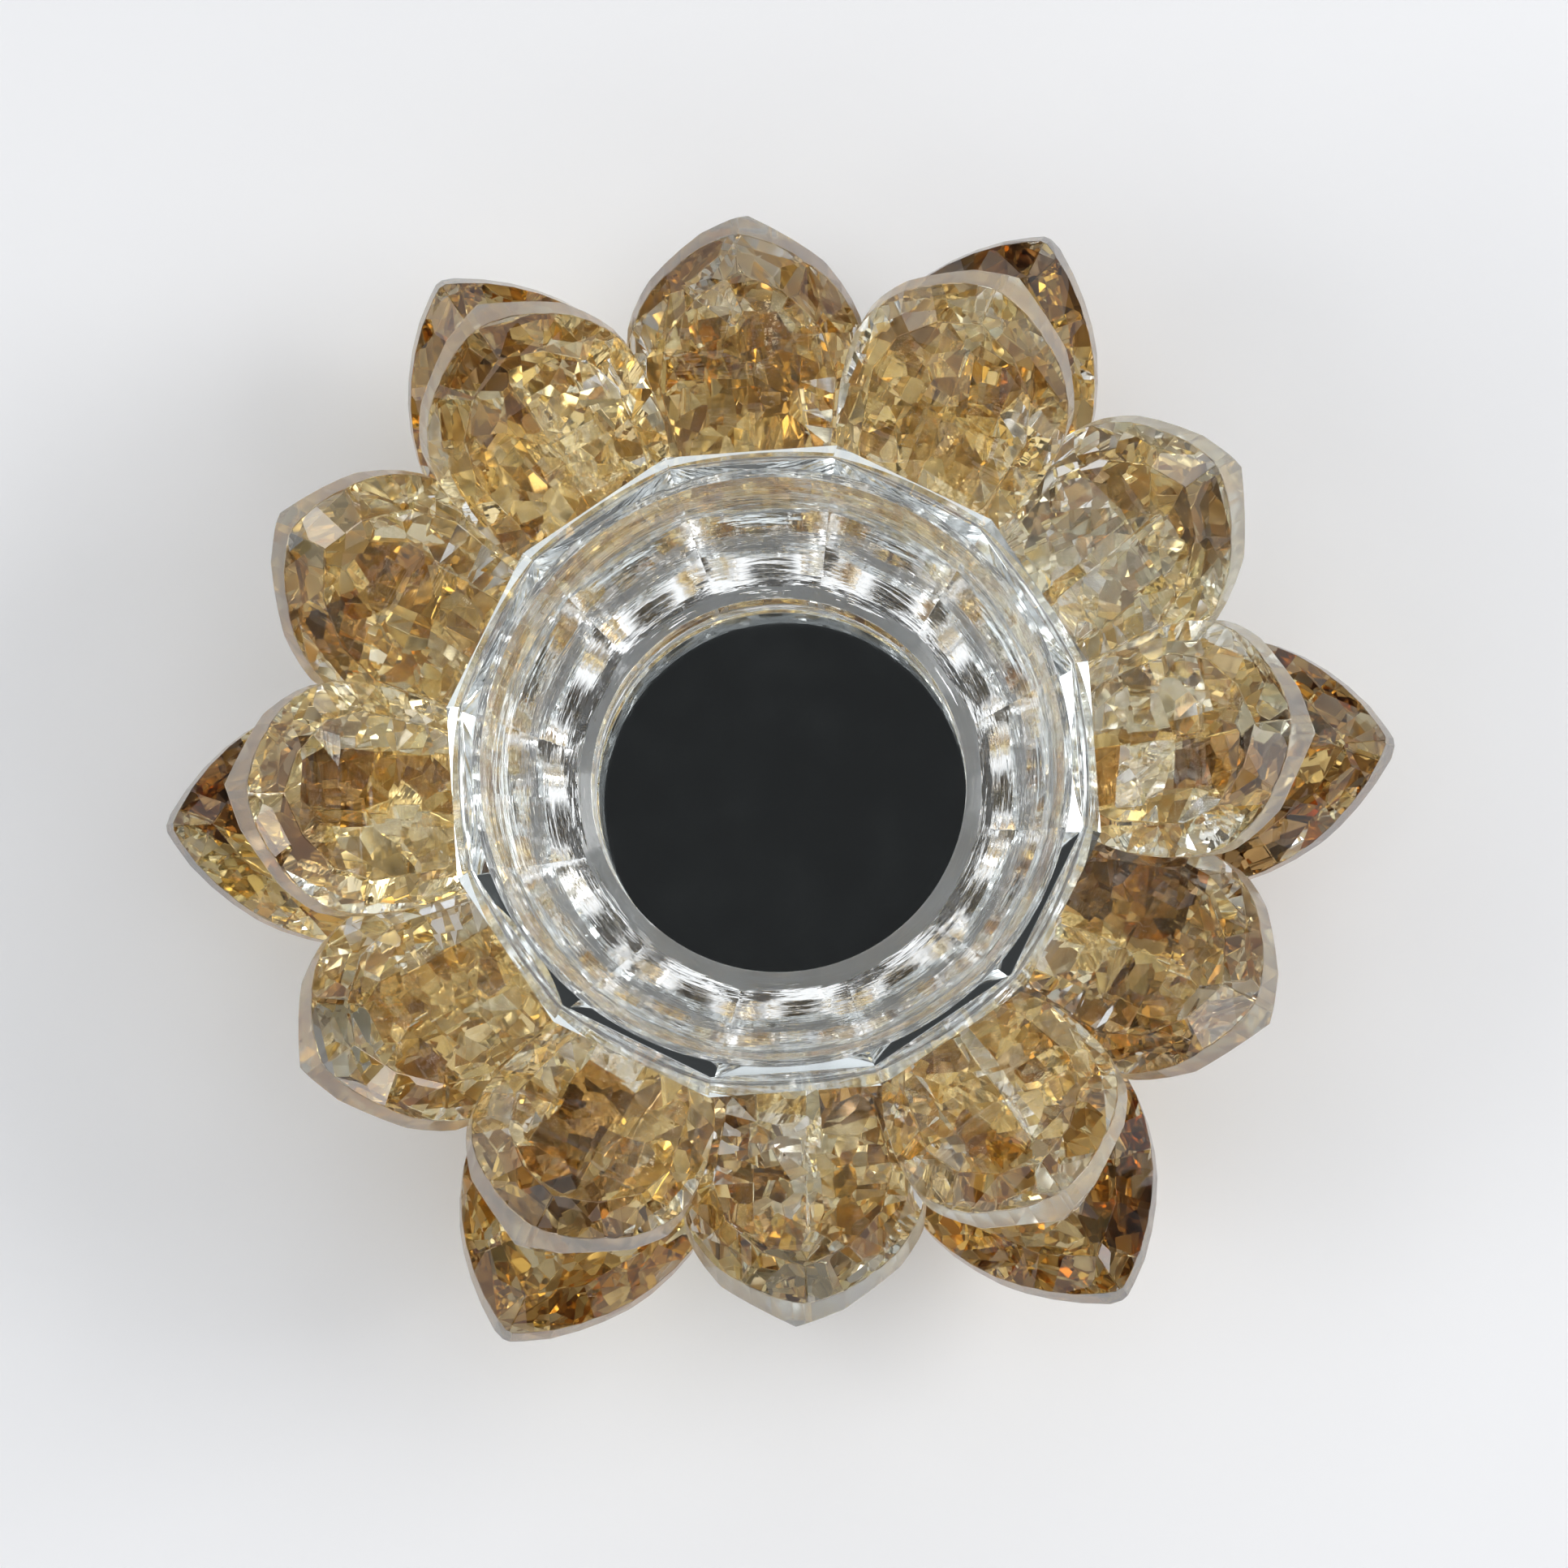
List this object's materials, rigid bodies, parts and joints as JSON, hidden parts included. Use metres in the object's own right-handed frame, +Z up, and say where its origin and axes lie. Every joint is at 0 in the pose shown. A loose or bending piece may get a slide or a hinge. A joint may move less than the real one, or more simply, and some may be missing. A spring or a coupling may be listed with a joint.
{
  "type": "candle holder",
  "caption": "Lotus candle holder of cut glass: a clear faceted cup for a tealight, ringed by three tiers of pointed amber glass petals.",
  "frame": {"origin": "on the table under the middle of the cup", "axes": "+Z up along the axis of the cup, +X towards the first lower and upper petals"},
  "size_m": [0.1348, 0.1182, 0.0555],
  "materials": {
    "amber_glass": "cut and polished clear, the cut back coated with a champagne amber mirror film",
    "clear_glass": "cut and polished, water clear",
    "silver_mirror": "silvered, looks near-black from above where it shows a dark ceiling",
    "clear_rubber": "clear silicone"
  },
  "bodies": {
    "root": {"bumper_feet": "clear_rubber", "base_block": "clear_glass", "mirror_disc": "silver_mirror", "candle_cup": "clear_glass", "lower_petal_1": "amber_glass", "lower_petal_2": "amber_glass", "lower_petal_3": "amber_glass", "lower_petal_4": "amber_glass", "lower_petal_5": "amber_glass", "lower_petal_6": "amber_glass", "middle_petal_1": "amber_glass", "middle_petal_2": "amber_glass", "middle_petal_3": "amber_glass", "middle_petal_4": "amber_glass", "middle_petal_5": "amber_glass", "middle_petal_6": "amber_glass", "upper_petal_1": "amber_glass", "upper_petal_2": "amber_glass", "upper_petal_3": "amber_glass", "upper_petal_4": "amber_glass", "upper_petal_5": "amber_glass", "upper_petal_6": "amber_glass"}
  },
  "joints": []
}
